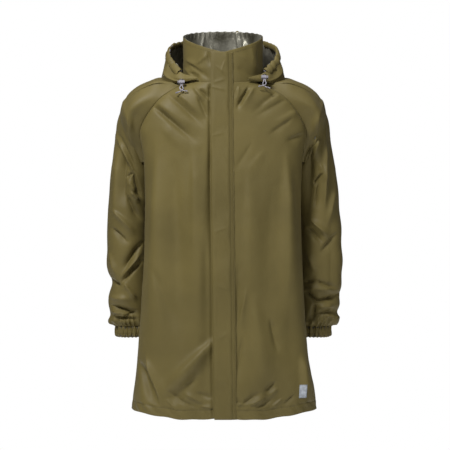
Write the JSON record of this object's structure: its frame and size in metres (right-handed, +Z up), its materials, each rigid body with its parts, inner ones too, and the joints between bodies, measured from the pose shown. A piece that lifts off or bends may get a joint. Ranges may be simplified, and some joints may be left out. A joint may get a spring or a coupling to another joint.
{
  "type": "hooded rain jacket",
  "caption": "Thigh-length hooded raglan rain jacket with a covered zip front, gathered elastic cuffs, stand collar and a hood folded back with corded toggles.",
  "frame": {"origin": "middle of the face inside the hanger loop that a hook bears on, inside the back of the neck", "axes": "+Z up, -Y out of the front, +X towards the wearer's left"},
  "size_m": [0.5556, 0.3324, 0.9043],
  "materials": {
    "shell_cloth": "satin",
    "coated_lining": "satin",
    "cuff_elastic": "matte",
    "zip_tape": "matte",
    "zip_coil": "satin",
    "zip_metal": "satin",
    "hook_and_loop": "matte",
    "draw_cord": "matte",
    "grey_plastic": "satin",
    "spring_steel": "satin",
    "label_cloth": "matte"
  },
  "bodies": {
    "root": {"front_panel_left": "shell_cloth", "front_panel_right": "shell_cloth", "back_panel": "shell_cloth", "sleeve_left": "shell_cloth", "sleeve_right": "shell_cloth", "cuff_casing_left": "shell_cloth", "cuff_casing_right": "shell_cloth", "collar_outer": "shell_cloth", "hood_panel_left": "shell_cloth", "hood_panel_centre": "shell_cloth", "hood_panel_right": "shell_cloth", "hood_casing": "shell_cloth", "flap_base": "shell_cloth", "collar_lining": "coated_lining", "cuff_elastic_left": "cuff_elastic", "cuff_elastic_right": "cuff_elastic", "zip_tape_left": "zip_tape", "zip_tape_right": "zip_tape", "hanger_loop": "zip_tape", "zip_coil_left": "zip_coil", "zip_coil_right": "zip_coil", "zip_retainer_box": "zip_coil", "zip_top_stop_left": "zip_metal", "zip_top_stop_right": "zip_metal", "cord_eyelet_left": "zip_metal", "cord_eyelet_right": "zip_metal", "front_loop_pad_1": "hook_and_loop", "front_loop_pad_2": "hook_and_loop", "front_loop_pad_3": "hook_and_loop", "front_loop_pad_4": "hook_and_loop", "front_loop_pad_5": "hook_and_loop", "front_loop_pad_6": "hook_and_loop", "hood_drawcord_upper": "draw_cord", "hood_drawcord_lower": "draw_cord", "cord_end_left_inner": "draw_cord", "cord_end_left_outer": "draw_cord", "cord_end_right_inner": "draw_cord", "cord_end_right_outer": "draw_cord", "cord_tip_left_inner": "grey_plastic", "cord_tip_left_outer": "grey_plastic", "cord_tip_right_inner": "grey_plastic", "cord_tip_right_outer": "grey_plastic", "hem_label": "label_cloth"},
    "storm_flap": {"storm_flap": "shell_cloth", "flap_hook_pad_1": "hook_and_loop", "flap_hook_pad_2": "hook_and_loop", "flap_hook_pad_3": "hook_and_loop", "flap_hook_pad_4": "hook_and_loop", "flap_hook_pad_5": "hook_and_loop", "flap_hook_pad_6": "hook_and_loop"},
    "zip_slider": {"zip_slider": "zip_metal", "zip_pull": "zip_metal"},
    "cord_lock_left": {"lock_body_left": "grey_plastic", "lock_spring_left": "spring_steel"},
    "cord_lock_right": {"lock_body_right": "grey_plastic", "lock_spring_right": "spring_steel"},
    "plunger_left": {"lock_plunger_left": "grey_plastic"},
    "plunger_right": {"lock_plunger_right": "grey_plastic"}
  },
  "joints": [
    {"name": "storm_flap_swing", "type": "hinge", "parent": "root", "child": "storm_flap", "pos_m": [0.0213, -0.22502, -0.80812], "axis": [-0.0108, 0.06, 0.9981], "range_deg": [0, 150]},
    {"name": "zip_slider_travel", "type": "slide", "parent": "root", "child": "zip_slider", "axis": [0, 0.06, 0.9982], "range_m": [-0.755, 0]},
    {"name": "lock_slide_left", "type": "slide", "parent": "root", "child": "cord_lock_left", "axis": [0, -0.4695, -0.8829], "range_m": [0, 0.004]},
    {"name": "lock_slide_right", "type": "slide", "parent": "root", "child": "cord_lock_right", "axis": [0, -0.4695, -0.8829], "range_m": [0, 0.004]},
    {"name": "plunger_press_left", "type": "slide", "parent": "cord_lock_left", "child": "plunger_left", "axis": [-1, 0, 0], "range_m": [0, 0.0014], "stiffness_N_per_m": 500, "springref_m": -0.001, "deforming": ["lock_spring_left"]},
    {"name": "plunger_press_right", "type": "slide", "parent": "cord_lock_right", "child": "plunger_right", "axis": [1, 0, 0], "range_m": [0, 0.0014], "stiffness_N_per_m": 500, "springref_m": -0.001, "deforming": ["lock_spring_right"]}
  ]
}
